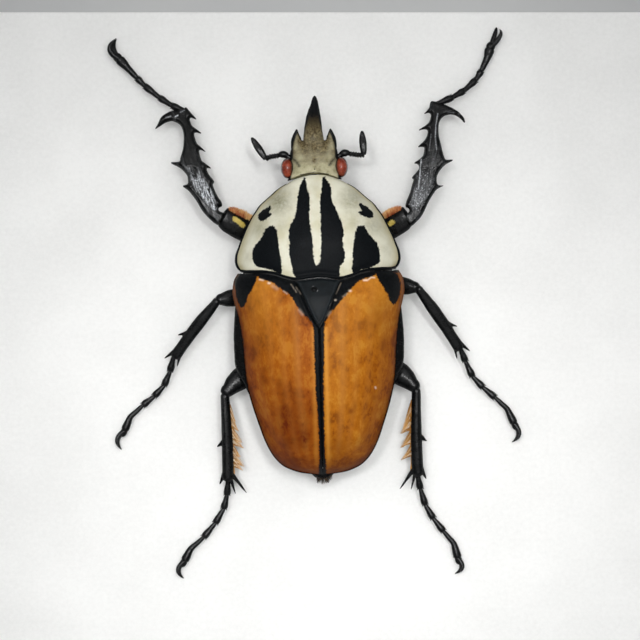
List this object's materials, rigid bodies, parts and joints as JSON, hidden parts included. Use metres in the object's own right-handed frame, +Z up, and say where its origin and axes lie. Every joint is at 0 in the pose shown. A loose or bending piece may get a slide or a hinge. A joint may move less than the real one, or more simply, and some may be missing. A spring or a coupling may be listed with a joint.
{
  "type": "mecynorhina oberthuri beetle specimen on a backing board",
  "caption": "Horned flower beetle, dried with its legs spread, lying on a square white backing board; a still museum-type specimen.",
  "frame": {"origin": "centre of the board's underside", "axes": "+Z up from the board, +Y towards the beetle's head, +X to the right seen from above with the head up"},
  "size_m": [0.114, 0.114, 0.0245],
  "materials": {
    "backing_board": "matte white paper face",
    "cream_shell": "satin cream beetle shell with black marks",
    "orange_shell": "glossy orange-brown wing case with black borders",
    "slate_shell": "matte grey-black shell",
    "head_shell": "mottled olive and cream shell",
    "black_shell": "glossy black shell, pitted in places",
    "eye": "glossy red-brown"
  },
  "bodies": {
    "root": {"board": "backing_board", "pronotum": "cream_shell", "elytron_l": "orange_shell", "elytron_r": "orange_shell", "scutellum": "slate_shell", "head": "head_shell", "horn": "head_shell", "eye_l": "eye", "eye_r": "eye", "prosternum": "black_shell", "thorax": "black_shell", "abdomen": "black_shell", "pygidium": "black_shell", "antenna_l": "black_shell", "antenna_r": "black_shell", "mouthparts": "black_shell", "coxa_front_l": "black_shell", "femur_front_l": "black_shell", "tibia_front_l": "black_shell", "tarsus_front_l": "black_shell", "claws_front_l": "black_shell", "coxa_front_r": "black_shell", "femur_front_r": "black_shell", "tibia_front_r": "black_shell", "tarsus_front_r": "black_shell", "claws_front_r": "black_shell", "coxa_mid_l": "black_shell", "femur_mid_l": "black_shell", "tibia_mid_l": "black_shell", "tarsus_mid_l": "black_shell", "claws_mid_l": "black_shell", "coxa_mid_r": "black_shell", "femur_mid_r": "black_shell", "tibia_mid_r": "black_shell", "tarsus_mid_r": "black_shell", "claws_mid_r": "black_shell", "coxa_hind_l": "black_shell", "femur_hind_l": "black_shell", "tibia_hind_l": "black_shell", "tarsus_hind_l": "black_shell", "claws_hind_l": "black_shell", "coxa_hind_r": "black_shell", "femur_hind_r": "black_shell", "tibia_hind_r": "black_shell", "tarsus_hind_r": "black_shell", "claws_hind_r": "black_shell"}
  },
  "joints": []
}
